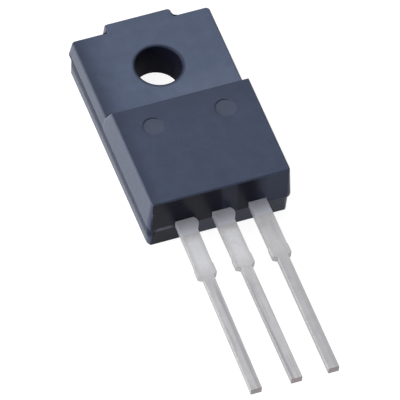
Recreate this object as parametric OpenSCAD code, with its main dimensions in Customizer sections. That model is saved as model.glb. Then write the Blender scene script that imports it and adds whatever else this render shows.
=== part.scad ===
// Full-pack power transistor: a moulded epoxy package with a through hole in its thin tab,
// three flat tinned leads, and the copper pad, chip and bond wires that it encloses.
// Millimetres. X runs across the package, Y towards the tab, Z out of the front face.
// The origin is the axis of the mounting hole, on the flat back face.

/* [Package outline] */
// Width of the package at the parting line
body_w = 10; // [9.6:0.02:10.6]
// Thickness of the whole body, from the back face to the front face
body_t = 4.3; // [4:0.05:4.8]
// Thickness of the tab
tab_t = 2.82; // [2.5:0.02:3.2]
// Height of the parting line over the back face, which is also the underside of the leads
parting_z = 1.7; // [1.4:0.05:1.9]
// Distance from the hole to the tab's top edge on the front face
tab_reach = 3.6; // [3.2:0.05:4.5]
// Distance from the hole to the body's bottom edge on the front face
body_reach = 11.65; // [11:0.02:13]
// How far the body's sides lean in towards the front
side_draft = 0.2; // [0.05:0.01:0.3]
// How far the body's lead end leans in towards the front
end_draft = 0.28; // [0.2:0.01:0.4]
// How far the tab's faces lean in towards the front
tab_draft = 0.18; // [0.05:0.01:0.3]
// How far the back half is set in behind the front half at the parting line
back_inset = 0.09; // [0.02:0.01:0.2]
// How far the back half's sides lean in towards the back
back_draft = 0.05; // [0.02:0.01:0.12]
// How far the back half's lead end leans in towards the back
back_end_draft = 0.17; // [0.12:0.01:0.3]
// Plan radius of the body's corners at the parting line, in the front half
body_corner_r = 0.5; // [0.42:0.02:0.9]
// Plan radius of the tab's corners at the parting line, in the front half
tab_corner_r = 0.44; // [0.32:0.02:0.8]
// Width of the broken edge round the front faces of the body and the tab
edge_break = 0.08; // [0.04:0.01:0.12]
// Plan radius of the back half's corners at the parting line
back_corner_r = 0.6; // [0.3:0.05:1]

/* [Step between tab and body] */
// Distance from the hole to the foot of the step
step_foot = 3.1; // [2.6:0.05:4]
// Distance that the step's slope covers along the package
step_run = 0.74; // [0.3:0.02:1.2]

/* [Nub on the tab] */
// Width of the nub on the front face
nub_w = 4.64; // [3.5:0.02:6]
// How far the nub stands out from the tab's top edge
nub_reach = 0.68; // [0.4:0.02:1.2]
// How far the nub's faces lean in towards the front
nub_draft = 0.08; // [0.03:0.01:0.15]
// Plan radius of the nub's corners at the parting line
nub_corner_r = 0.3; // [0.2:0.02:0.5]
// Radius of the fillet between the nub and the tab
nub_fillet_r = 0.28; // [0.1:0.02:0.5]

/* [Mounting hole] */
// Diameter of the hole
hole_d = 3.1; // [3:0.05:3.6]
// Radius of the rounding on the hole's front rim
rim_r = 0.13; // [0.05:0.01:0.25]

/* [Ejector marks] */
// Diameter of the two round marks on the front face
mark_d = 1.4; // [1:0.05:2]
// Depth of the marks
mark_depth = 0.05; // [0.03:0.01:0.15]
// Distance of each mark from the centre line
mark_x = 2.5; // [1.5:0.05:3.5]
// Distance from the hole to the marks, along the package
mark_y = 5.62; // [5:0.02:8]

/* [Leads] */
// Distance between the centre lines of neighbouring leads at the body
lead_pitch = 2.54; // [2.4:0.01:2.8]
// Thickness of the leads
lead_t = 0.5; // [0.4:0.02:0.6]
// Width of the part next to the body
wide_w = 1.22; // [1:0.02:1.4]
// Width of the part that goes into the board
narrow_w = 0.75; // [0.6:0.01:0.9]
// Distance from the hole to the shoulders where the leads narrow
shoulder_reach = 16.5; // [15:0.05:18]
// Distance from the hole to the cut tips
tip_reach = 25.9; // [24:0.05:28]
// Length of the cropped dam bar stubs at the shoulders
stub_l = 0.85; // [0.5:0.05:1.4]
// How far the stubs stand out on each side
stub_proud = 0.05; // [0.02:0.01:0.12]
// Length of the slope from each shoulder to the narrow part
neck_l = 0.1; // [0.1:0.02:0.5]
// Angle at which the left lead is splayed outwards, in degrees
left_splay = 0.9; // [0:0.1:2]
// Radius of the small bulge beside the body on the left and centre leads
lobe_r = 0.5; // [0.4:0.02:0.7]
// How far that bulge stands out of the lead's right edge
lobe_proud = 0.22; // [0.05:0.01:0.3]

/* [Lead frame inside the body] */
// Thickness of the moulding that insulates the copper pad from the back face
insulation_t = 0.6; // [0.45:0.05:0.8]
// Thickness of the copper pad
pad_t = 1.2; // [0.8:0.05:1.3]
// Width of the copper pad
pad_w = 7.8; // [6.5:0.1:8.2]
// Distance from the hole to the pad's lead end
pad_reach = 9.4; // [9.1:0.05:9.7]
// Distance from the hole to the ends of the pad's two arms, beside the hole
pad_arm_reach = 2; // [1:0.1:2.2]
// Least thickness of moulding between the hole and the pad
hole_insulation = 0.9; // [0.7:0.05:1.1]
// Width of the bonding post on each outer lead
post_w = 2.2; // [1.6:0.05:2.3]
// Length of the bonding posts
post_l = 1.05; // [0.8:0.05:1.15]
// Gap between the pad and the bonding posts
post_gap = 0.4; // [0.3:0.05:0.5]

/* [Chip and bond wires] */
// Side of the square silicon chip
die_w = 4.2; // [3.2:0.1:4.6]
// Thickness of the chip
die_t = 0.28; // [0.2:0.02:0.4]
// Distance from the pad's lead end to the chip
die_edge = 0.9; // [0.7:0.05:1.2]
// Thickness of the solder under the chip
solder_t = 0.06; // [0.03:0.01:0.1]
// How far the solder stands out round the chip
solder_margin = 0.15; // [0.05:0.05:0.25]
// Diameter of the base wire
base_wire_d = 0.28; // [0.2:0.01:0.3]
// Diameter of the emitter wires
emitter_wire_d = 0.38; // [0.3:0.01:0.42]
// Distance between the two emitter wires
emitter_wire_gap = 0.9; // [0.7:0.05:1]
// Height of the wires' loops over their higher foot, as a share of their span
loop_rise = 0.24; // [0.15:0.01:0.3]

/* [Hidden] */

$fn = 48;

// Faces of the package at the parting line
front_half_x = body_w / 2;
back_half_x = front_half_x - back_inset;
body_end_y = -(body_reach + end_draft);
back_end_y = body_end_y + back_inset;
tab_end_y = tab_reach + tab_draft;
back_tab_end_y = tab_end_y - back_inset;
nub_x = nub_w / 2;
nub_end_y = tab_reach + nub_reach;

// Copper pad, solder and chip, stacked from the back face
pad_top_z = insulation_t + pad_t;
die_bottom_z = pad_top_z + solder_t;
die_top_z = die_bottom_z + die_t;
die_reach = pad_reach - die_edge - die_w / 2;
pad_corner = 0.5;

// Leads, which lie on the parting plane
lead_top_z = parting_z + lead_t;
post_end_y = -(pad_reach + post_gap);
root_y = body_end_y;
splay_y = root_y + 0.4;
lobe_sunk = 0.08;
shoulder_corner = 0.08;
post_neck_y = post_end_y - post_l;

// Places where the wires are bonded: on the chip, and in the middle of the posts
land_edge = 0.18 * die_w;
wire_land_y = -(die_reach + die_w / 2 - land_edge);
emitter_land_y = wire_land_y + 0.12 * die_w;
base_land_x = -0.285 * die_w;
emitter_land_x = 0.24 * die_w;
post_mid_y = post_end_y - post_l / 2;

// Shape of the wires' feet and bends, in wire diameters, radii and shares of the span
foot_ratio = 1.6;
heel_ratio = 0.75;
foot_height = 0.7;
foot_spread = 1.4;
bend_spread = 1.1;
loop_lead = 0.28;

mould_colour = [0.27, 0.3, 0.37];
tin_colour = [0.72, 0.72, 0.75];
copper_colour = [0.72, 0.45, 0.32];

// Outline in X and Z, drawn out along Y between two places
module along_y(y_low, y_high, points)
    translate([0, y_high, 0])
        rotate([90, 0, 0])
            linear_extrude(height = y_high - y_low)
                polygon(points);

// Outline in Y and Z, drawn out along X between two places
module along_x(x_low, x_high, points)
    translate([x_low, 0, 0])
        rotate([90, 0, 90])
            linear_extrude(height = x_high - x_low)
                polygon(points);

// Block with rounded upright corners whose faces all lean in by the same amount,
// from its largest outline at wide_z to its smallest at narrow_z, where the edge is broken
module drafted_block(half_x, y_low, y_high, wide_z, narrow_z, corner_r, lean, broken = 0) {
    way = sign(narrow_z - wide_z);
    edge_z = narrow_z - way * broken;
    edge_lean = lean * (edge_z - wide_z) / (narrow_z - wide_z);
    end_lean = lean + broken;
    along_y(y_low + corner_r, y_high - corner_r, [
        [-half_x, wide_z], [half_x, wide_z], [half_x - edge_lean, edge_z],
        [half_x - end_lean, narrow_z], [end_lean - half_x, narrow_z], [edge_lean - half_x, edge_z]
    ]);
    along_x(corner_r - half_x, half_x - corner_r, [
        [y_low, wide_z], [y_high, wide_z], [y_high - edge_lean, edge_z],
        [y_high - end_lean, narrow_z], [y_low + end_lean, narrow_z], [y_low + edge_lean, edge_z]
    ]);
    for (x = [corner_r - half_x, half_x - corner_r])
        for (y = [y_low + corner_r, y_high - corner_r])
            translate([x, y, 0])
                rotate_extrude()
                    polygon([
                        [0, wide_z], [corner_r, wide_z], [corner_r - edge_lean, edge_z],
                        [corner_r - end_lean, narrow_z], [0, narrow_z]
                    ]);
}

// Front half of the body, cut back along the lead end and the slope of the step
module front_body()
    intersection() {
        drafted_block(front_half_x, body_end_y, tab_end_y, parting_z, body_t, body_corner_r,
                      side_draft, edge_break);
        along_x(-front_half_x, front_half_x, [
            [body_end_y, parting_z], [-step_foot, parting_z], [-step_foot, tab_t],
            [-(step_foot + step_run), body_t], [edge_break - body_reach, body_t],
            [-body_reach - edge_break * end_draft / (body_t - parting_z), body_t - edge_break]
        ]);
    }

// Front half of the tab, which runs a little way into the body
module front_tab()
    drafted_block(front_half_x, -(step_foot + step_run), tab_end_y, parting_z, tab_t,
                  tab_corner_r, tab_draft, edge_break);

module back_half()
    intersection() {
        drafted_block(back_half_x, back_end_y, back_tab_end_y, parting_z, 0, back_corner_r, back_draft);
        along_x(-back_half_x, back_half_x, [
            [back_end_y, parting_z], [back_tab_end_y, parting_z],
            [back_tab_end_y, 0], [back_end_y + back_end_draft, 0]
        ]);
    }

// Nub on the tab's top edge, in both halves, with a fillet on each side
module nub() {
    inner_y = tab_reach - nub_reach;
    drafted_block(nub_x + nub_draft, inner_y, nub_end_y + nub_draft, parting_z, tab_t,
                  nub_corner_r, nub_draft, edge_break);
    drafted_block(nub_x + nub_draft - back_inset, inner_y, nub_end_y + nub_draft - back_inset,
                  parting_z, 0, nub_corner_r, back_draft);
    for (side = [0, 1])
        mirror([side, 0, 0])
            translate([nub_x, tab_reach, parting_z])
                difference() {
                    cube([nub_fillet_r, nub_fillet_r, tab_t - parting_z]);
                    translate([nub_fillet_r, nub_fillet_r, 0])
                        cylinder(h = tab_t, r = nub_fillet_r);
                }
}

// Through hole with a rounded front rim
module mounting_hole() {
    over = 0.5;
    translate([0, 0, -over])
        cylinder(h = tab_t + 2 * over, d = hole_d);
    translate([0, 0, tab_t - rim_r])
        rotate_extrude()
            difference() {
                square([hole_d / 2 + rim_r, rim_r + over]);
                translate([hole_d / 2 + rim_r, 0])
                    circle(r = rim_r);
            }
}

module ejector_marks()
    for (x = [-mark_x, mark_x])
        translate([x, -mark_y, body_t - mark_depth])
            cylinder(h = mark_depth + 1, d = mark_d);

// Sideways shift of a splayed lead at a place outside the body
function lean_at(y, splay) = -tan(splay) * max(0, splay_y - y);

// Both edges of a lead in plan, from its inner end to its tip: place along Y, then half width
function lead_stations(inner_y) = [
    [inner_y, wide_w / 2],
    [splay_y, wide_w / 2],
    [-(shoulder_reach - stub_l), wide_w / 2],
    [-(shoulder_reach - stub_l) - stub_proud, wide_w / 2 + stub_proud],
    [-(shoulder_reach - shoulder_corner), wide_w / 2 + stub_proud],
    [-shoulder_reach, wide_w / 2 + stub_proud - shoulder_corner],
    [-(shoulder_reach + neck_l), narrow_w / 2],
    [-tip_reach, narrow_w / 2]
];

module lead_blade(x, inner_y, splay = 0) {
    stations = lead_stations(inner_y);
    left_edge = [for (s = stations) [x + lean_at(s[0], splay) - s[1], s[0]]];
    last = len(stations) - 1;
    right_edge = [for (i = [last:-1:0]) let (s = stations[i]) [x + lean_at(s[0], splay) + s[1], s[0]]];
    translate([0, 0, parting_z])
        linear_extrude(height = lead_t)
            polygon(concat(left_edge, right_edge));
}

// Small round bulge on the right edge of a lead, beside the body
module root_lobe(x) {
    half_chord = sqrt(lobe_r * lobe_r - (lobe_r - lobe_proud) * (lobe_r - lobe_proud));
    translate([x + wide_w / 2 - lobe_r + lobe_proud, root_y - half_chord + lobe_sunk, parting_z])
        cylinder(h = lead_t, r = lobe_r);
}

// Outer lead with the bonding post at its inner end
module outer_lead(x, splay = 0) {
    lead_blade(x, post_end_y, splay);
    translate([x - post_w / 2, post_neck_y, parting_z])
        cube([post_w, post_l, lead_t]);
}

// Plan of the copper pad, with cut corners at the lead end
module pad_plan() {
    x = pad_w / 2;
    y = -pad_reach;
    polygon([
        [-x, pad_arm_reach], [x, pad_arm_reach], [x, y + pad_corner],
        [x - pad_corner, y], [pad_corner - x, y], [-x, y + pad_corner]
    ]);
}

module copper_pad()
    translate([0, 0, insulation_t])
        difference() {
            linear_extrude(height = pad_t)
                pad_plan();
            translate([0, 0, -1])
                cylinder(h = pad_t + 2, r = hole_d / 2 + hole_insulation);
        }

// Bent neck that joins the centre lead to the end of the pad
module pad_neck() {
    bend_y = post_neck_y + post_l / 3;
    sunk_z = pad_top_z - lead_t;
    along_x(-wide_w / 2, wide_w / 2, [
        [post_neck_y, parting_z], [bend_y, parting_z], [-pad_reach - post_gap / 2, sunk_z],
        [-pad_reach + lead_t, sunk_z], [-pad_reach + lead_t, pad_top_z],
        [-pad_reach - post_gap / 2, pad_top_z], [bend_y, lead_top_z], [post_neck_y, lead_top_z]
    ]);
}

// Round rod between two points in the X and Z plane
module rod(p, q, r)
    translate([p[0], 0, p[1]])
        rotate([0, atan2(q[0] - p[0], q[1] - p[1]), 0])
            cylinder(h = norm(q - p), r = r, $fn = 24);

// Wire between two bonding lands: a flattened foot on each, and a bent loop between them
module bond_wire(from, to, d) {
    r = d / 2;
    run = norm([to[0] - from[0], to[1] - from[1]]);
    lift = foot_height * r;
    top_z = max(from[2], to[2]) + loop_rise * run;
    first = [0, from[2] + lift];
    last = [run, to[2] + lift];
    bends = [first, [loop_lead * run, top_z], [(1 - loop_lead) * run, top_z], last];
    translate([from[0], from[1], 0])
        rotate([0, 0, atan2(to[1] - from[1], to[0] - from[0])]) {
            translate([0, 0, from[2]])
                wire_foot(d);
            translate([run, 0, to[2]])
                mirror([1, 0, 0])
                    wire_foot(d);
            for (i = [0:2])
                rod(bends[i], bends[i + 1], r);
            for (i = [1, 2])
                translate([bends[i][0], 0, bends[i][1]])
                    sphere(r = bend_spread * r, $fn = 24);
        }
}

// Flattened foot that lies on a surface, under the start of the loop
module wire_foot(d)
    translate([-foot_ratio * d, -foot_spread * d / 2, 0])
        cube([(foot_ratio + heel_ratio) * d, foot_spread * d, foot_height * d]);

module emitter_wire(shift)
    bond_wire(
        [emitter_land_x + shift, emitter_land_y, die_top_z],
        [lead_pitch + shift, post_mid_y, lead_top_z],
        emitter_wire_d
    );

module heat_spreader_and_centre_lead()
    color(copper_colour) {
        copper_pad();
        pad_neck();
        lead_blade(0, post_neck_y);
        root_lobe(0);
    }

module left_lead()
    color(tin_colour) {
        outer_lead(-lead_pitch, left_splay);
        root_lobe(-lead_pitch);
    }

module right_lead()
    color(tin_colour)
        outer_lead(lead_pitch);

module silicon_die()
    color([0.45, 0.47, 0.5])
        translate([-die_w / 2, -die_reach - die_w / 2, die_bottom_z])
            cube([die_w, die_w, die_t]);

module die_solder() {
    side = die_w + 2 * solder_margin;
    color([0.62, 0.62, 0.62])
        translate([-side / 2, -die_reach - side / 2, pad_top_z])
            cube([side, side, solder_t]);
}

module base_bond_wire()
    color([0.85, 0.85, 0.85])
        bond_wire(
            [base_land_x, wire_land_y, die_top_z],
            [-lead_pitch, post_mid_y, lead_top_z],
            base_wire_d
        );

module emitter_bond_wire_inner()
    color([0.85, 0.85, 0.85])
        emitter_wire(-emitter_wire_gap / 2);

module emitter_bond_wire_outer()
    color([0.85, 0.85, 0.85])
        emitter_wire(emitter_wire_gap / 2);

// Everything that the moulding is cast round
module enclosed_pieces() {
    heat_spreader_and_centre_lead();
    left_lead();
    right_lead();
    silicon_die();
    die_solder();
    base_bond_wire();
    emitter_bond_wire_inner();
    emitter_bond_wire_outer();
}

module moulded_body()
    color(mould_colour)
        difference() {
            union() {
                front_body();
                front_tab();
                back_half();
                nub();
            }
            mounting_hole();
            ejector_marks();
            enclosed_pieces();
        }

moulded_body();
heat_spreader_and_centre_lead();
left_lead();
right_lead();
silicon_die();
die_solder();
base_bond_wire();
emitter_bond_wire_inner();
emitter_bond_wire_outer();
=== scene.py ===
"""Looks of a full-pack power transistor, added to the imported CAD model.

Lengths in the settings and in the values below are millimetres. The scene is in metres, with
the part's axes: X across the package, Y towards the tab, Z out of the front face.
"""

import math
from types import SimpleNamespace

import bpy
from mathutils import Matrix, Vector


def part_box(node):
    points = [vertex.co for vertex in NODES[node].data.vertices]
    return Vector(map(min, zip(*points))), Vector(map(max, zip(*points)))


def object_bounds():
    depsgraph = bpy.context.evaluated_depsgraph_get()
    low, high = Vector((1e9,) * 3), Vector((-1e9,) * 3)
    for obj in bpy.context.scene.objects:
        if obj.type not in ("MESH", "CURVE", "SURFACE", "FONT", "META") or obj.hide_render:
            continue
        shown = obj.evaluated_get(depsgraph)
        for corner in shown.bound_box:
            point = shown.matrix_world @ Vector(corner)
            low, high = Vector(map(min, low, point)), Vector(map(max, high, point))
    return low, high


bl_info = {
    "name": "Power transistor looks",
    "version": (1, 0, 0),
    "blender": (4, 5, 0),
    "location": "3D View > Sidebar > Transistor",
    "description": "Materials, soft edges, floor, lights and camera for a moulded power transistor",
    "category": "Object",
}

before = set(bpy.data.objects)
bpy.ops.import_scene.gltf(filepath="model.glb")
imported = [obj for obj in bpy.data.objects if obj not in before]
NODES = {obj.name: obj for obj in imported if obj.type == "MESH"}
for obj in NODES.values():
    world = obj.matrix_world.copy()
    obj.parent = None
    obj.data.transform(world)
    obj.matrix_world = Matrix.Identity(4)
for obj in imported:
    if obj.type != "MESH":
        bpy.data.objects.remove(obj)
MM = 0.001
LOW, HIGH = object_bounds()

LEADS = ("left_lead", "right_lead", "heat_spreader_and_centre_lead")
WIRES = ("base_bond_wire", "emitter_bond_wire_inner", "emitter_bond_wire_outer")

WHITE = (1.0, 1.0, 1.0, 1.0)
COOL_WHITE = (0.97, 0.98, 1.0, 1.0)
DUST = (0.3, 0.3, 0.32, 1.0)
CHIP_STAIN = (0.2, 0.21, 0.26, 1.0)
CHIP_EDGE = (0.08, 0.08, 0.1, 1.0)
WIRE_EDGE = (0.9, 0.9, 0.9, 1.0)

# How far a surface faces along an axis, from -1 to 1: where a tone starts and where it is full
BODY_UP = (0.6, 0.9)
BODY_UPRIGHT = (0.6, 0.3)
BODY_SIDE = (0.5, 0.9)
BODY_LEFT = (-0.5, -0.8)
TAB_LEFT = (-0.5, -0.9)
LEAD_END = (-0.6, -0.9)
LEAD_UP = (0.3, 0.7)
CUT_TIP = -0.8

# Places on the moulded body. A pair says where a tone starts and where it is full.
PARTING_Z = 1.7
BEHIND_FRONT_Z = 4.0
TAB_FRONT_Z = (3.0, 2.9)
TAB_STEP_Y = (-3.25, -3.05)
# Painted light on the tab's pale tone: painted shade to the left, a painted highlight towards the
# step
TAB_LEFT_X = (-4.8, -2.3)
TAB_LENGTH_Y = (4.2, -2.5)
# Painted sheen on the tab near the step
SHEEN_Y = (-0.8, -2.6)
SHEEN_X = (-1.5, 1.0)
# Painted highlight on the tab's left side, just over the parting line
SIDE_PALE_Z = (PARTING_Z - 0.04, PARTING_Z + 0.02)
SIDE_PALE_Y = (-5.0, -1.0)
# Painted shade along the left front edge, and on the body's front towards the step
LEFT_EDGE_X = (-3.7, -4.7)
STEP_SHADE_Y = (-6.4, -4.0)

# Discs left by the ejector pins on the front face, at both sides of the middle
MARK_X, MARK_Y = 2.5, -5.62
MARK_DISC = (0.71, 0.66)
MARK_RIM = (0.95, 0.8)

# Distances from the axis of the screw hole
BORE_WALL = (1.72, 1.6)
BORE_MOUTH = (1.86, 1.6)

# Band of painted shade under the parting line, which is higher and reaches lower on the left side
BAND_TOP_Z = (PARTING_Z + 0.06, PARTING_Z - 0.06)
BAND_LOW_Z = 1.3
BAND_FADE = 0.5
LEFT_BAND_DROP = 0.75
LEFT_BAND_RISE = 0.16

# Lead end of the body: painted shade over the parting line, with a paler stripe of painted
# reflection in it, painted shade on its left corner under the parting line, and a painted highlight
# streak between them
END_ABOVE_Z = (PARTING_Z - 0.1, PARTING_Z)
END_DARK_X = (3.4, 2.1)
END_PALE_X = ((-0.1, 0.2), (1.3, 1.0))
END_CORNER_X = (-1.4, -2.6)
STREAK_Z = ((PARTING_Z - 0.04, PARTING_Z + 0.04), (PARTING_Z + 0.35, PARTING_Z + 0.15))
STREAK_X = ((-4.7, -4.3), (-3.1, -3.6))

# Places on the leads
LEAD_ROOT_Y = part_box("moulded_body")[0][1] / MM
LEAD_TIP_Y = LOW[1] / MM
COPPER_Y = (LEAD_ROOT_Y + 0.1, LEAD_ROOT_Y + 0.5)
CUT_TIP_Y = (LEAD_TIP_Y + 0.5, LEAD_TIP_Y + 0.3)
# Painted reflection of the body on the tin beside it
BLUE_ROOT_Y = (-13.2, -13.0)
RUBBED_START_Y = (-13.1, -13.8)
RUBBED_FADE_Y = (-16.5, -15.6)
RUBBED_END_Y = (-16.65, -16.45)
RUBBED_WIDTH = (0.7, 0.2)
LEFT_WIDE_X = -2.59
STREAKED_Y = (-16.0, -17.2)
RIGHT_LEAD_X = (0.8, 2.0)
RIGHT_DULL_Y = (-15.8, -16.8)

# Dark line along each narrow part: its X at Y = 0, and its lean in X for each millimetre of Y
DARK_LINES = ((-2.17, 0.0157), (-0.72, -0.018), (2.74, 0.0))
DARK_LINE_WIDTH = (0.19, 0.03)
DARK_LINE_Y = (-16.8, -18.6)

# The camera is turned towards AIM, then moved left and down by PICTURE_SHIFT
AIM = (0.0, -8.0, 2.0)
PICTURE_SHIFT = (0.00784, 2.22548)
SENSOR_WIDTH = 36.0
# Name, setting with its power, place and size of each soft light
LAMPS = (
    ("Key light", "key", (-75, 10, 75), (120, 120)),
    ("Side light", "fill", (-240, 20, 105), (420, 250)),
    ("Back light", "back", (40, 90, 130), (130, 110)),
)
FLOOR_HALF = 2000.0
FLOOR_GAP = 0.02


def colour_prop(name, description, default):
    return bpy.props.FloatVectorProperty(
        name=name, description=description, default=default, size=3,
        min=0.0, max=1.0, subtype="COLOR",
    )


def number(name, description, default, low=0.0, high=10.0):
    return bpy.props.FloatProperty(
        name=name, description=description, default=default, min=low, max=high
    )


def share(name, description, default):
    return bpy.props.FloatProperty(
        name=name, description=description, default=default, min=0.0, max=1.0, subtype="FACTOR"
    )


def angle(name, description, degrees):
    return bpy.props.FloatProperty(
        name=name, description=description, default=math.radians(degrees),
        subtype="ANGLE", unit="ROTATION",
    )


class MouldSettings(bpy.types.PropertyGroup):
    """Surface of the moulded body"""

    colour: colour_prop("Epoxy", "Colour of the moulding compound", (0.075, 0.095, 0.155))
    # Painted shade along the edges of the front faces, the left front edge and towards the step
    edge_colour: colour_prop("Edges", "Darker tone along the edges", (0.034, 0.043, 0.071))
    tab_colour: colour_prop("Tab", "Paler tone on the front of the tab", (0.126, 0.159, 0.246))
    # Bluer tone painted on the upright walls for the light that they reflect
    side_colour: colour_prop("Side walls", "Bluer tone of the side walls", (0.053, 0.074, 0.146))
    # Painted shade in the band under the parting line
    band_colour: colour_prop(
        "Band", "Tone of the witness band at the parting line", (0.006, 0.016, 0.052)
    )
    # Painted shade in the bore, round its mouth and on the lead end
    shade_colour: colour_prop(
        "Shade", "Tone of the bore and of the lead end's dark part", (0.004, 0.005, 0.02)
    )
    # Also the painted highlight on the tab's left side
    filler_colour: colour_prop(
        "Filler", "Fine pale grains of filler in the epoxy", (0.16, 0.175, 0.215)
    )
    # Painted highlight along the side walls' edges, on the tab and in the lead end's streak
    rim_colour: colour_prop(
        "Rim", "Paler tone of the side walls along their edges", (0.32, 0.37, 0.48)
    )
    roughness: share("Roughness", "Roughness of the eroded mould surface", 0.34)
    mark_roughness: share("Mark roughness", "Roughness of the ejector pins' discs", 0.26)
    grain: number("Grain", "Grains of the mould texture in each millimetre", 7.0, 1.0, 30.0)
    depth: share("Depth", "Strength of the mould texture", 0.16)
    specular: share("Reflection", "Strength of the epoxy's own reflection", 0.12)
    skin: share("Skin", "Share of the surface that the glossy moulded skin covers", 0.27)
    side_skin: share("Side skin", "Share of the side walls that it covers", 0.52)
    skin_roughness: share("Skin roughness", "Roughness of the glossy moulded skin", 0.24)
    edge_radius: number(
        "Edge radius", "Rounding of the body's edges in millimetres", 0.045, 0.0, 0.2
    )
    soft_look: number(
        "Soft look", "Radius in millimetres that the edges seem to have", 0.07, 0.0, 0.5
    )


class TinSettings(bpy.types.PropertyGroup):
    """Plating of the leads and the pad"""

    colour: colour_prop("Tin", "Colour of the dull tin plating", (0.73, 0.72, 0.73))
    dull_colour: colour_prop("Dull tin", "Duller patches of the plating", (0.6, 0.59, 0.6))
    streak_colour: colour_prop(
        "Streaks", "Darker streaks and lines along the narrow parts", (0.38, 0.37, 0.4)
    )
    # Painted reflection of the body on the tin beside it
    root_colour: colour_prop("Root", "Bluish tin beside the body", (0.8, 0.83, 0.94))
    rubbed_colour: colour_prop("Rubbed tin", "Bright patch on the wide parts", (0.85, 0.85, 0.87))
    copper: colour_prop(
        "Copper", "Bare copper on the cut tips and inside the body", (0.64, 0.36, 0.23)
    )
    roughness: share("Roughness", "Roughness of the plating", 0.36)
    metal: share("Metal", "How far the plating shines through its dull film", 0.66)
    crystal: number("Crystals", "Tin crystals in each millimetre", 5.0, 1.0, 30.0)
    depth: share("Depth", "Strength of the plating's relief", 0.12)
    edge_radius: number(
        "Edge radius", "Rolled edge of the stamped leads in millimetres", 0.03, 0.0, 0.1
    )


class InnerSettings(bpy.types.PropertyGroup):
    """Chip, solder and wires inside the body"""

    silicon: colour_prop("Silicon", "Colour of the chip's metallised face", (0.35, 0.36, 0.4))
    solder: colour_prop("Solder", "Colour of the solder under the chip", (0.42, 0.42, 0.43))
    wire: colour_prop("Wire", "Colour of the bond wires", (0.8, 0.8, 0.81))
    cell: number("Cells", "Width of the chip's printed cells in millimetres", 0.12, 0.02, 1.0)


class StageSettings(bpy.types.PropertyGroup):
    """Floor, lights and camera"""

    floor: colour_prop("Floor", "Colour of the floor", (0.42, 0.42, 0.42))
    glow: number("Backdrop", "How far the floor is lifted towards white for the camera", 0.89)
    mirror_glow: number("Mirrored backdrop", "How far it is lifted in reflections", 0.5)
    sky: number("Sky", "Strength of the even light from all round", 0.5)
    key: number("Key", "Power of the near light on the left, in milliwatts", 44.0, 0.0, 1000.0)
    fill: number("Fill", "Power of the wide light on the left, in milliwatts", 480.0, 0.0, 1000.0)
    back: number("Back", "Power of the light behind the tab, in milliwatts", 10.0, 0.0, 1000.0)
    azimuth: angle("Azimuth", "Camera's turn round the object", -24.4523)
    elevation: angle("Elevation", "Camera's height over the floor", 53.4992)
    roll: angle("Roll", "Camera's turn about its own axis", 5.2283)
    distance: number(
        "Distance", "Distance from the camera to the body, in millimetres", 517.0, 10.0, 5000.0
    )
    lens: number("Lens", "Focal length of the camera, in millimetres", 713.8, 10.0, 5000.0)


def rgba(colour, strength=1.0):
    """Colour as a socket takes it, darkened by a strength."""
    return (colour[0] * strength, colour[1] * strength, colour[2] * strength, 1.0)


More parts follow.
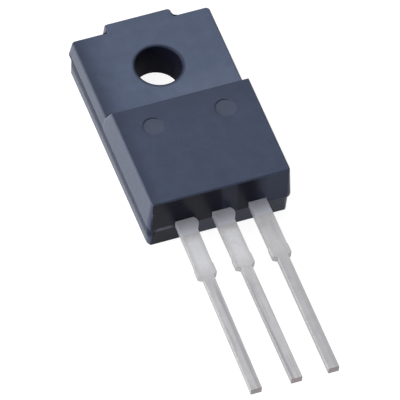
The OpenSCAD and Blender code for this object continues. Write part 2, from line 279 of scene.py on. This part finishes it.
class Graph:
    """Adds nodes to one node tree, and links whatever isn't a plain number or colour."""

    def __init__(self, tree):
        self.tree = tree

    def feed(self, socket, value):
        if isinstance(value, bpy.types.NodeSocket):
            self.tree.links.new(value, socket)
        else:
            socket.default_value = value

    def node(self, kind, inputs=None, **settings):
        made = self.tree.nodes.new(kind)
        for key, value in settings.items():
            setattr(made, key, value)
        for key, value in (inputs or {}).items():
            self.feed(made.inputs[key], value)
        return made

    def group(self, tree, **inputs):
        """Outputs of a shader group with its named inputs set."""
        return self.node("ShaderNodeGroup", inputs, node_tree=tree).outputs

    def surface(self, values):
        """Principled shader with these inputs, as the material's surface."""
        shader = self.node("ShaderNodeBsdfPrincipled", values)
        self.node("ShaderNodeOutputMaterial", {"Surface": shader.outputs[0]})

    def math(self, operation, a, b=0.0):
        return self.node("ShaderNodeMath", {0: a, 1: b}, operation=operation).outputs[0]

    def plus(self, a, b):
        return self.math("ADD", a, b)

    def minus(self, a, b):
        return self.math("SUBTRACT", a, b)

    def times(self, product, *factors):
        for factor in factors:
            product = self.math("MULTIPLY", product, factor)
        return product

    def larger(self, a, b):
        return self.math("MAXIMUM", a, b)

    def absolute(self, value):
        return self.math("ABSOLUTE", value)

    def reach(self, a, b):
        """Distance from the origin of a point with these two coordinates."""
        return self.math("SQRT", self.plus(self.times(a, a), self.times(b, b)))

    def ramp(self, value, low, high, to_low=0.0, to_high=1.0):
        """Smooth rise from to_low at low to to_high at high."""
        made = self.node("ShaderNodeMapRange", {0: value, 1: low, 2: high, 3: to_low, 4: to_high})
        made.interpolation_type = "SMOOTHSTEP"
        return made.outputs[0]

    def between(self, value, start, end):
        """Mask that is full between two pairs and fades out over each of them."""
        return self.times(self.ramp(value, *start), self.ramp(value, *end))

    def spread(self, share, low, high):
        """Number between low and high, by a share from 0 to 1."""
        return self.ramp(share, 0.0, 1.0, low, high)

    def mix(self, factor, a, b):
        made = self.node("ShaderNodeMix", data_type="RGBA")
        # A mix of colours has its factor and its two colours at these inputs
        for index, value in ((0, factor), (6, a), (7, b)):
            self.feed(made.inputs[index], value)
        return made.outputs[2]

    def noise(self, vector, scale, detail=2.0, roughness=0.5):
        inputs = {"Vector": vector, "Scale": scale, "Detail": detail, "Roughness": roughness}
        return self.node("ShaderNodeTexNoise", inputs).outputs[0]

    def drawn_noise(self, place, across, along):
        """Noise that is drawn out along Y."""
        inputs = {0: place, 1: (across, along, across)}
        drawn = self.node("ShaderNodeVectorMath", inputs, operation="MULTIPLY").outputs[0]
        return self.noise(drawn, 1.0, 3.0, 0.6)

    def place(self):
        """Place on the object in millimetres."""
        metres = self.node("ShaderNodeTexCoord").outputs["Object"]
        scaled = self.node("ShaderNodeVectorMath", {0: metres, 3: 1 / MM}, operation="SCALE")
        return scaled.outputs[0]

    def split(self, vector):
        return self.node("ShaderNodeSeparateXYZ", {0: vector}).outputs

    def facing(self):
        """X, Y and Z of the direction that the surface faces."""
        return self.split(self.node("ShaderNodeNewGeometry").outputs["Normal"])

    def bump(self, height, strength, distance, rounding=0.03):
        """Relief of a depth, over edges that look rounded by a radius, both in millimetres."""
        soft = self.node("ShaderNodeBevel", {"Radius": rounding * MM}, samples=6).outputs[0]
        inputs = {
            "Strength": strength, "Distance": distance * MM, "Height": height, "Normal": soft,
        }
        return self.node("ShaderNodeBump", inputs).outputs[0]


def new_group(name, inputs, outputs):
    """Empty shader group with its sockets, as a graph and the two sets of sockets."""
    tree = bpy.data.node_groups.new(name, "ShaderNodeTree")
    for label, kind, value in inputs:
        socket = tree.interface.new_socket(label, in_out="INPUT", socket_type=kind)
        if value is not None:
            socket.default_value = value
    for label in outputs:
        tree.interface.new_socket(label, in_out="OUTPUT", socket_type="NodeSocketFloat")
    g = Graph(tree)
    return g, g.node("NodeGroupInput").outputs, g.node("NodeGroupOutput").inputs


def grain_group():
    """Spark-eroded mould texture or plating crystals: relief, tone and shine."""
    name = "Surface grain"
    if name in bpy.data.node_groups:
        return bpy.data.node_groups[name]
    g, given, out = new_group(
        name,
        [("Place", "NodeSocketVector", None), ("Grains", "NodeSocketFloat", 7.0),
         ("Patches", "NodeSocketFloat", 0.4)],
        ["Height", "Tone", "Shine"],
    )
    place, grains, patches = given["Place"], given["Grains"], given["Patches"]
    fine = g.noise(place, grains, 4.0, 0.6)
    cells = g.node(
        "ShaderNodeTexVoronoi", {"Vector": place, "Scale": g.times(grains, 1.7)},
        feature="SMOOTH_F1",
    ).outputs["Distance"]
    broad = g.noise(place, patches, 3.0, 0.55)
    tone = g.plus(g.times(broad, 0.65), g.times(fine, 0.35))
    shine = g.noise(place, g.times(patches, 2.3), 4.0, 0.65)
    g.feed(out["Height"], g.plus(g.times(fine, 0.7), g.times(cells, 0.3)))
    g.feed(out["Tone"], g.ramp(tone, 0.3, 0.7))
    g.feed(out["Shine"], g.ramp(shine, 0.3, 0.7))
    return g.tree


def edge_group():
    """Mask that rises along the edges of the shape."""
    name = "Edge mask"
    if name in bpy.data.node_groups:
        return bpy.data.node_groups[name]
    g, given, out = new_group(name, [("Reach", "NodeSocketFloat", 0.1)], ["Edge"])
    radius = g.times(given["Reach"], MM)
    soft = g.node("ShaderNodeBevel", {"Radius": radius}, samples=6).outputs[0]
    plain = g.node("ShaderNodeNewGeometry").outputs["Normal"]
    inputs = {0: soft, 1: plain}
    along = g.node("ShaderNodeVectorMath", inputs, operation="DOT_PRODUCT").outputs["Value"]
    g.feed(out["Edge"], g.ramp(along, 0.995, 0.82))
    return g.tree


def speck_group():
    """Sparse small specks, such as grains of filler or dust."""
    name = "Specks"
    if name in bpy.data.node_groups:
        return bpy.data.node_groups[name]
    g, given, out = new_group(
        name,
        [("Place", "NodeSocketVector", None), ("Specks", "NodeSocketFloat", 4.0),
         ("Size", "NodeSocketFloat", 0.12)],
        ["Mask"],
    )
    spots = g.node("ShaderNodeTexVoronoi", {"Vector": given["Place"], "Scale": given["Specks"]})
    chance = g.node("ShaderNodeSeparateColor", {0: spots.outputs["Color"]}).outputs[0]
    inside = g.math("LESS_THAN", spots.outputs["Distance"], g.times(given["Size"], chance))
    rare = g.math("GREATER_THAN", chance, 0.45)
    g.feed(out["Mask"], g.times(inside, rare))
    return g.tree


def new_material(name):
    """Empty material, and the graph of its nodes."""
    material = bpy.data.materials.new(name)
    material.use_nodes = True
    material.node_tree.nodes.clear()
    return material, Graph(material.node_tree)


def dress(node, material, radius=0.0):
    """Gives a CAD node its material, and soft edges of a radius in millimetres."""
    piece = NODES[node]
    piece.data.materials.clear()
    piece.data.materials.append(material)
    if radius:
        weld = piece.modifiers.new("Weld", "WELD")
        weld.merge_threshold = 1e-7
        soft = piece.modifiers.new("Soft edges", "BEVEL")
        soft.width = radius * MM
        soft.segments = 3
        soft.limit_method = "ANGLE"
        soft.angle_limit = math.radians(28)
        soft.harden_normals = True


def mould_masks(g, place):
    """Masks of the moulded body, each from 0 to 1."""
    x, y, z = g.split(place)
    nx, ny, nz = g.facing()
    m = SimpleNamespace()
    m.up = g.ramp(nz, *BODY_UP)
    m.front = g.math("GREATER_THAN", z, BEHIND_FRONT_Z)

    # The discs have a soft rim, where no wall or edge shows
    from_mark = g.reach(g.minus(g.absolute(x), MARK_X), g.minus(y, MARK_Y))
    m.disc = g.times(g.ramp(from_mark, *MARK_DISC), m.front)
    off_rim = g.minus(1.0, g.times(g.ramp(from_mark, *MARK_RIM), m.front))
    m.side = g.times(g.ramp(g.absolute(nx), *BODY_SIDE), off_rim)
    m.wall = g.times(g.ramp(g.absolute(nz), *BODY_UPRIGHT), off_rim)
    edge = g.group(edge_group(), Reach=0.2)["Edge"]
    m.edge = g.times(edge, g.spread(off_rim, 0.3, 1.0))

    # Band of painted shade under the parting line
    left = g.ramp(nx, *BODY_LEFT)
    band_low = g.minus(BAND_LOW_Z, g.times(left, LEFT_BAND_DROP))
    band_top = g.ramp(g.minus(z, g.times(left, LEFT_BAND_RISE)), *BAND_TOP_Z)
    band = g.times(g.ramp(g.minus(z, band_low), 0.0, BAND_FADE), band_top)
    m.band = g.times(band, g.spread(left, 0.3, 0.9), m.wall)

    # Wall of the bore, which gets painted shade, and the ring of painted shade round its mouth
    from_axis = g.reach(x, y)
    m.bore = g.times(m.wall, g.ramp(from_axis, *BORE_WALL))
    m.mouth = g.ramp(from_axis, *BORE_MOUTH, 0.0, 0.75)

    # Lead end: painted shade, a paler stripe of painted reflection in it, and a painted highlight
    # streak
    lead_end = g.ramp(ny, *LEAD_END)
    above = g.ramp(z, *END_ABOVE_Z)
    stripe = g.times(g.between(x, *END_PALE_X), 0.4)
    dark_above = g.times(above, g.minus(g.ramp(x, *END_DARK_X), stripe))
    corner = g.times(g.minus(1.0, above), g.ramp(x, *END_CORNER_X, 0.25, 0.95))
    m.corner = g.times(lead_end, corner)
    m.shade = g.larger(m.bore, g.times(lead_end, g.larger(dark_above, corner)))
    m.streak = g.times(g.between(z, *STREAK_Z), g.between(x, *STREAK_X), lead_end)

    # Tab, with painted shade to its left and a painted highlight towards the step, and the painted
    # light round it
    tab = g.times(g.ramp(z, *TAB_FRONT_Z), g.ramp(y, *TAB_STEP_Y), m.up)
    m.tab = g.times(tab, g.ramp(x, *TAB_LEFT_X, 0.1, 1.0), g.ramp(y, *TAB_LENGTH_Y, 0.76, 1.0))
    m.sheen = g.times(m.tab, g.ramp(y, *SHEEN_Y), g.ramp(x, *SHEEN_X))
    # Painted highlight on the tab's left side over the parting line
    m.tab_side = g.times(
        g.ramp(nx, *TAB_LEFT), g.ramp(z, *SIDE_PALE_Z), g.ramp(y, *SIDE_PALE_Y, 0.0, 0.45)
    )
    # Painted shade along the left front edge, and on the front towards the step
    m.left_edge = g.times(g.ramp(x, *LEFT_EDGE_X), m.up)
    m.near_step = g.times(g.ramp(y, *STEP_SHADE_Y), m.front)
    return m


def mould_tone(g, s, m, grain, speck):
    """Colour of the moulded body, from the plain epoxy up to its marks, with painted light and
    shade among them.
    """
    mottle = g.times(grain["Tone"], 0.5)
    epoxy = g.mix(mottle, rgba(s.colour), rgba(s.colour, 0.72))
    tab = g.mix(mottle, rgba(s.tab_colour), rgba(s.tab_colour, 0.72))
    # Painted highlight along the side walls' edges, painted shade along the edges of the front
    # faces
    rim = g.mix(m.up, rgba(s.rim_colour), rgba(s.edge_colour))
    layers = (
        # Bluer tone painted on the upright walls for the light that they reflect
        (g.times(m.wall, 0.7), rgba(s.side_colour)),
        # Tab's pale tone, with painted shade to the left and a painted highlight towards the step
        (m.tab, tab),
        # Painted highlight on the tab's left side
        (m.tab_side, rgba(s.filler_colour)),
        # Painted sheen on the tab
        (g.times(m.sheen, 0.1), rgba(s.rim_colour)),
        # Painted shade along the left front edge, and on the front towards the step
        (g.times(m.left_edge, 0.4), rgba(s.edge_colour)),
        (g.times(m.near_step, 0.22), rgba(s.edge_colour)),
        (g.times(speck, 0.3), rgba(s.filler_colour)),
        (g.times(m.disc, 0.22), rgba(s.filler_colour)),
        # Painted highlight and painted shade along the edges
        (g.times(m.edge, g.spread(m.up, 0.6, 0.8)), rim),
        # Painted shade in the band under the parting line
        (m.band, rgba(s.band_colour)),
        # Painted shade in the bore and on the lead end
        (m.shade, rgba(s.shade_colour)),
        # Painted shade round the bore's mouth
        (m.mouth, rgba(s.shade_colour)),
        # Painted highlight streak on the lead end
        (g.times(m.streak, 0.5), rgba(s.rim_colour)),
    )
    tone = epoxy
    for mask, colour in layers:
        tone = g.mix(mask, tone, colour)
    return tone


class TRANSISTOR_OT_body(bpy.types.Operator):
    """Give the moulded body its epoxy surface and soft edges"""

    bl_idname = "transistor.body"
    bl_label = "Moulded body"

    def execute(self, context):
        s = context.scene.transistor_mould
        material, g = new_material("Moulded epoxy")
        place = g.place()
        grain = g.group(grain_group(), Place=place, Grains=s.grain, Patches=1.1)
        speck = g.group(speck_group(), Place=place, Specks=6.0, Size=0.2)["Mask"]
        m = mould_masks(g, place)

        rough = g.spread(grain["Shine"], s.roughness - 0.02, s.roughness + 0.03)
        rough = g.plus(rough, g.times(m.disc, s.mark_roughness - s.roughness))
        rough = g.plus(rough, g.times(m.bore, 0.35))
        relief = g.times(grain["Height"], g.minus(1.0, g.times(m.disc, 0.7)))
        # The skin is glossiest on the side walls. It is left off in the painted shade of the band
        # and round the bore's mouth, and thin on the lead end's painted dark corner.
        skin = g.times(
            g.spread(m.side, s.skin, s.side_skin),
            g.spread(m.up, 1.0, 0.35),
            g.ramp(g.larger(m.band, m.mouth), 0.0, 0.75, 1.0, 0.0),
            g.ramp(m.corner, 0.3, 0.95, 1.0, 0.2),
        )
        g.surface({
            "Base Color": mould_tone(g, s, m, grain, speck),
            "Roughness": rough,
            "Normal": g.bump(relief, s.depth, 0.05, s.soft_look),
            "Specular IOR Level": s.specular,
            "Coat Weight": skin,
            "Coat Roughness": s.skin_roughness,
        })
        dress("moulded_body", material, s.edge_radius)
        return {"FINISHED"}


def lead_masks(g, place, grain):
    """Masks of the leads and the pad, each from 0 to 1."""
    x, y = g.split(place)[:2]
    ny, nz = g.facing()[1:]
    m = SimpleNamespace()
    # Bare copper inside the body, and a little of it on the cropped tips
    cut = g.times(g.math("LESS_THAN", ny, CUT_TIP), g.ramp(y, *CUT_TIP_Y))
    m.tip = g.times(cut, 0.7)
    m.bare = g.larger(g.ramp(y, *COPPER_Y), g.times(cut, 0.18))

    # Fine lines from rolling the strip, and darker streaks that are strongest on narrow parts
    m.lines = g.drawn_noise(place, across=18.0, along=0.5)
    streaks = g.ramp(g.drawn_noise(place, across=4.5, along=0.3), 0.48, 0.66)
    m.streaks = g.times(streaks, g.ramp(y, *STREAKED_Y, 0.15, 0.36))

    # Dark line along each narrow part, fainter on the sides
    score = 0.0
    for start, lean in DARK_LINES:
        from_line = g.absolute(g.minus(x, g.plus(g.times(y, lean), start)))
        score = g.larger(score, g.ramp(from_line, *DARK_LINE_WIDTH))
    on_front = g.ramp(nz, *LEAD_UP, 0.4, 1.0)
    uneven = g.spread(grain["Tone"], 0.65, 0.45)
    m.score = g.times(score, g.ramp(y, *DARK_LINE_Y), on_front, uneven)

    # Duller narrow part of the right lead, and painted reflection of the body on the tin beside it
    m.dull = g.times(g.ramp(x, *RIGHT_LEAD_X), g.ramp(y, *RIGHT_DULL_Y), 0.7)
    m.root = g.times(g.ramp(y, *BLUE_ROOT_Y), 0.6)

    # Brighter patch on the wide parts of the left and centre leads
    from_middle = g.math("MINIMUM", g.absolute(x), g.absolute(g.minus(x, LEFT_WIDE_X)))
    m.rubbed = g.times(
        g.ramp(y, *RUBBED_START_Y),
        g.ramp(y, *RUBBED_FADE_Y, 0.35, 1.0),
        g.ramp(y, *RUBBED_END_Y),
        g.ramp(from_middle, *RUBBED_WIDTH),
        g.ramp(grain["Shine"], 0.0, 0.5, 0.5, 1.0),
    )
    return m


class TRANSISTOR_OT_leads(bpy.types.Operator):
    """Give the leads and the pad their tin plating, with bare copper on the cut tips and inside"""

    bl_idname = "transistor.leads"
    bl_label = "Leads and heat spreader"

    def execute(self, context):
        s = context.scene.transistor_tin
        material, g = new_material("Tinned copper")
        place = g.place()
        grain = g.group(grain_group(), Place=place, Grains=s.crystal, Patches=0.9)
        edge = g.group(edge_group(), Reach=0.07)["Edge"]
        speck = g.group(speck_group(), Place=place, Specks=3.0, Size=0.12)["Mask"]
        m = lead_masks(g, place, grain)

        layers = (
            (g.times(grain["Tone"], 0.55), rgba(s.dull_colour)),
            (g.times(g.ramp(m.lines, 0.45, 0.75), 0.25), rgba(s.dull_colour)),
            (m.streaks, rgba(s.streak_colour)),
            (m.score, rgba(s.streak_colour)),
            (m.dull, rgba(s.dull_colour)),
            (g.times(speck, 0.15), DUST),
            (g.times(edge, 0.3), rgba(s.streak_colour)),
            (m.tip, rgba(s.streak_colour)),
            # Painted reflection of the body on the tin beside it
            (m.root, rgba(s.root_colour)),
            (m.rubbed, rgba(s.rubbed_colour)),
            (m.bare, g.mix(grain["Tone"], rgba(s.copper), rgba(s.copper, 0.7))),
        )
        tone = rgba(s.colour)
        for mask, colour in layers:
            tone = g.mix(mask, tone, colour)

        rough = g.spread(grain["Shine"], s.roughness - 0.07, s.roughness + 0.1)
        metal = g.spread(grain["Shine"], s.metal - 0.08, s.metal + 0.08)
        relief = g.plus(grain["Height"], g.times(m.lines, 0.5))
        g.surface({
            "Base Color": tone,
            # Less metal where the body's reflection is painted
            "Metallic": g.times(metal, g.ramp(m.root, 0.0, 0.6, 1.0, 0.6)),
            "Roughness": g.plus(rough, g.times(m.bare, 0.1)),
            "Normal": g.bump(relief, s.depth, 0.03),
        })
        for node in LEADS:
            dress(node, material, s.edge_radius)
        return {"FINISHED"}


class TRANSISTOR_OT_chip(bpy.types.Operator):
    """Give the chip its metallised cells and the solder its dull grain"""

    bl_idname = "transistor.chip"
    bl_label = "Chip and solder"

    def execute(self, context):
        s = context.scene.transistor_inner
        self.silicon(s)
        self.solder(s)
        return {"FINISHED"}

    def silicon(self, s):
        material, g = new_material("Metallised silicon")
        place = g.place()
        grain = g.group(grain_group(), Place=place, Grains=12.0, Patches=1.5)
        edge = g.group(edge_group(), Reach=0.05)["Edge"]
        bars = g.node(
            "ShaderNodeTexWave", {"Vector": place, "Scale": 0.3 / s.cell, "Distortion": 0.0},
            bands_direction="Y",
        ).outputs["Fac"]
        face = g.mix(g.ramp(bars, 0.3, 0.6), rgba(s.silicon), rgba(s.silicon, 0.5))
        face = g.mix(g.times(grain["Tone"], 0.2), face, CHIP_STAIN)
        face = g.mix(edge, face, CHIP_EDGE)
        g.surface({
            "Base Color": face,
            "Metallic": 0.7,
            "Roughness": g.spread(grain["Shine"], 0.18, 0.3),
            "Normal": g.bump(bars, 0.2, 0.01),
        })
        dress("silicon_die", material)

    def solder(self, s):
        material, g = new_material("Dull solder")
        grain = g.group(grain_group(), Place=g.place(), Grains=6.0, Patches=1.2)
        g.surface({
            "Base Color": g.mix(grain["Tone"], rgba(s.solder), rgba(s.solder, 0.6)),
            "Metallic": 1.0,
            "Roughness": g.spread(grain["Shine"], 0.35, 0.6),
            "Normal": g.bump(grain["Height"], 0.4, 0.02),
        })
        dress("die_solder", material)


class TRANSISTOR_OT_wires(bpy.types.Operator):
    """Give the bond wires their drawn metal"""

    bl_idname = "transistor.wires"
    bl_label = "Bond wires"

    def execute(self, context):
        s = context.scene.transistor_inner
        material, g = new_material("Drawn wire")
        grain = g.group(grain_group(), Place=g.place(), Grains=14.0, Patches=2.0)
        edge = g.group(edge_group(), Reach=0.03)["Edge"]
        tone = g.mix(g.times(grain["Tone"], 0.4), rgba(s.wire), rgba(s.wire, 0.6))
        g.surface({
            "Base Color": g.mix(g.times(edge, 0.3), tone, WIRE_EDGE),
            "Metallic": 1.0,
            "Roughness": g.spread(grain["Shine"], 0.2, 0.36),
            "Normal": g.bump(grain["Height"], 0.2, 0.01),
        })
        for node in WIRES:
            dress(node, material)
        return {"FINISHED"}


def soft_light(name, milliwatts, place, size):
    """Soft light of a width and length, aimed at the body."""
    lamp = bpy.data.lights.new(name, "AREA")
    lamp.shape = "RECTANGLE"
    lamp.size, lamp.size_y = (side * MM for side in size)
    lamp.energy = milliwatts / 1000
    made = bpy.data.objects.new(name, lamp)
    made.location = Vector(place) * MM
    made.rotation_mode = "QUATERNION"
    made.rotation_quaternion = (Vector(AIM) - Vector(place)).to_track_quat("-Z", "Y")
    bpy.context.scene.collection.objects.link(made)


class TRANSISTOR_OT_stage(bpy.types.Operator):
    """Add the white floor, the soft lights and the camera"""

    bl_idname = "transistor.stage"
    bl_label = "Stage"

    def execute(self, context):
        s = context.scene.transistor_stage
        self.floor(s)
        self.room(s)
        for name, power, place, size in LAMPS:
            soft_light(name, getattr(s, power), place, size)
        self.camera(s)
        context.scene.view_settings.view_transform = "Standard"
        return {"FINISHED"}

    def floor(self, s):
        mesh = bpy.data.meshes.new("Floor")
        half = FLOOR_HALF * MM
        low = LOW[2] - FLOOR_GAP * MM
        corners = [(-half, -half, low), (half, -half, low), (half, half, low), (-half, half, low)]
        mesh.from_pydata(corners, [], [(0, 1, 2, 3)])
        made = bpy.data.objects.new("Floor", mesh)
        bpy.context.scene.collection.objects.link(made)
        material, g = new_material("White floor")
        path = g.node("ShaderNodeLightPath").outputs
        mirrored = g.larger(path["Is Glossy Ray"], path["Is Transmission Ray"])
        lift = g.plus(g.times(path["Is Camera Ray"], s.glow), g.times(mirrored, s.mirror_glow))
        paper = g.noise(g.place(), 0.6, 4.0, 0.6)
        g.surface({
            "Base Color": g.mix(g.times(paper, 0.04), rgba(s.floor), rgba(s.floor, 0.93)),
            "Roughness": 0.9,
            "Specular IOR Level": 0.0,
            "Emission Color": WHITE,
            "Emission Strength": lift,
        })
        mesh.materials.append(material)

    def room(self, s):
        """World that the camera sees as white, and that lights the object softly."""
        world = bpy.data.worlds.new("Soft room")
        bpy.context.scene.world = world
        world.use_nodes = True
        world.node_tree.nodes.clear()
        g = Graph(world.node_tree)
        path = g.node("ShaderNodeLightPath").outputs
        direction = g.split(g.node("ShaderNodeTexCoord").outputs["Generated"])
        # Darker on the side of the lead tips, lighter behind the tab
        strength = g.times(g.ramp(direction[1], -0.7, 0.6, 0.2, 1.25), s.sky)
        cool = {"Color": COOL_WHITE, "Strength": strength}
        room = g.node("ShaderNodeBackground", cool).outputs[0]
        seen = g.node("ShaderNodeBackground", {"Color": WHITE, "Strength": 1.0}).outputs[0]
        pick = g.node("ShaderNodeMixShader", {0: path["Is Camera Ray"], 1: room, 2: seen})
        g.node("ShaderNodeOutputWorld", {"Surface": pick.outputs[0]})

    def camera(self, s):
        data = bpy.data.cameras.new("Camera")
        data.sensor_width = SENSOR_WIDTH
        data.lens = s.lens
        data.clip_start, data.clip_end = 0.01, 10.0
        turn_cos, turn_sin = math.cos(s.azimuth), math.sin(s.azimuth)
        rise_cos, rise_sin = math.cos(s.elevation), math.sin(s.elevation)
        back = Vector((turn_sin * rise_cos, -turn_cos * rise_cos, rise_sin))
        side = Vector((turn_cos, turn_sin, 0.0))
        up = back.cross(side)
        right = side * math.cos(s.roll) + up * math.sin(s.roll)
        top = up * math.cos(s.roll) - side * math.sin(s.roll)
        spot = Vector(AIM) - right * PICTURE_SHIFT[0] - top * PICTURE_SHIFT[1] + back * s.distance
        turn = Matrix((right, top, back)).transposed().to_4x4()
        made = bpy.data.objects.new("Camera", data)
        made.matrix_world = Matrix.Translation(spot * MM) @ turn
        bpy.context.scene.collection.objects.link(made)
        bpy.context.scene.camera = made


STEPS = (
    TRANSISTOR_OT_body,
    TRANSISTOR_OT_leads,
    TRANSISTOR_OT_chip,
    TRANSISTOR_OT_wires,
    TRANSISTOR_OT_stage,
)
GROUPS = {
    "transistor_mould": MouldSettings,
    "transistor_tin": TinSettings,
    "transistor_inner": InnerSettings,
    "transistor_stage": StageSettings,
}


class TRANSISTOR_PT_panel(bpy.types.Panel):
    """Lists the steps and their settings"""

    bl_idname = "TRANSISTOR_PT_panel"
    bl_label = "Power transistor"
    bl_space_type = "VIEW_3D"
    bl_region_type = "UI"
    bl_category = "Transistor"

    def draw(self, context):
        for step in STEPS:
            self.layout.operator(step.bl_idname)
        for name in GROUPS:
            settings = getattr(context.scene, name)
            box = self.layout.box()
            for key in settings.__annotations__:
                box.prop(settings, key)


def register():
    for group in GROUPS.values():
        bpy.utils.register_class(group)
    for name, group in GROUPS.items():
        setattr(bpy.types.Scene, name, bpy.props.PointerProperty(type=group))
    for step in STEPS:
        bpy.utils.register_class(step)
    bpy.utils.register_class(TRANSISTOR_PT_panel)


def unregister():
    bpy.utils.unregister_class(TRANSISTOR_PT_panel)
    for step in reversed(STEPS):
        bpy.utils.unregister_class(step)
    for name in GROUPS:
        delattr(bpy.types.Scene, name)
    for group in reversed(list(GROUPS.values())):
        bpy.utils.unregister_class(group)


def main():
    register()
    bpy.ops.transistor.body()
    bpy.ops.transistor.leads()
    bpy.ops.transistor.chip()
    bpy.ops.transistor.wires()
    bpy.ops.transistor.stage()


if __name__ == "__main__":
    main()
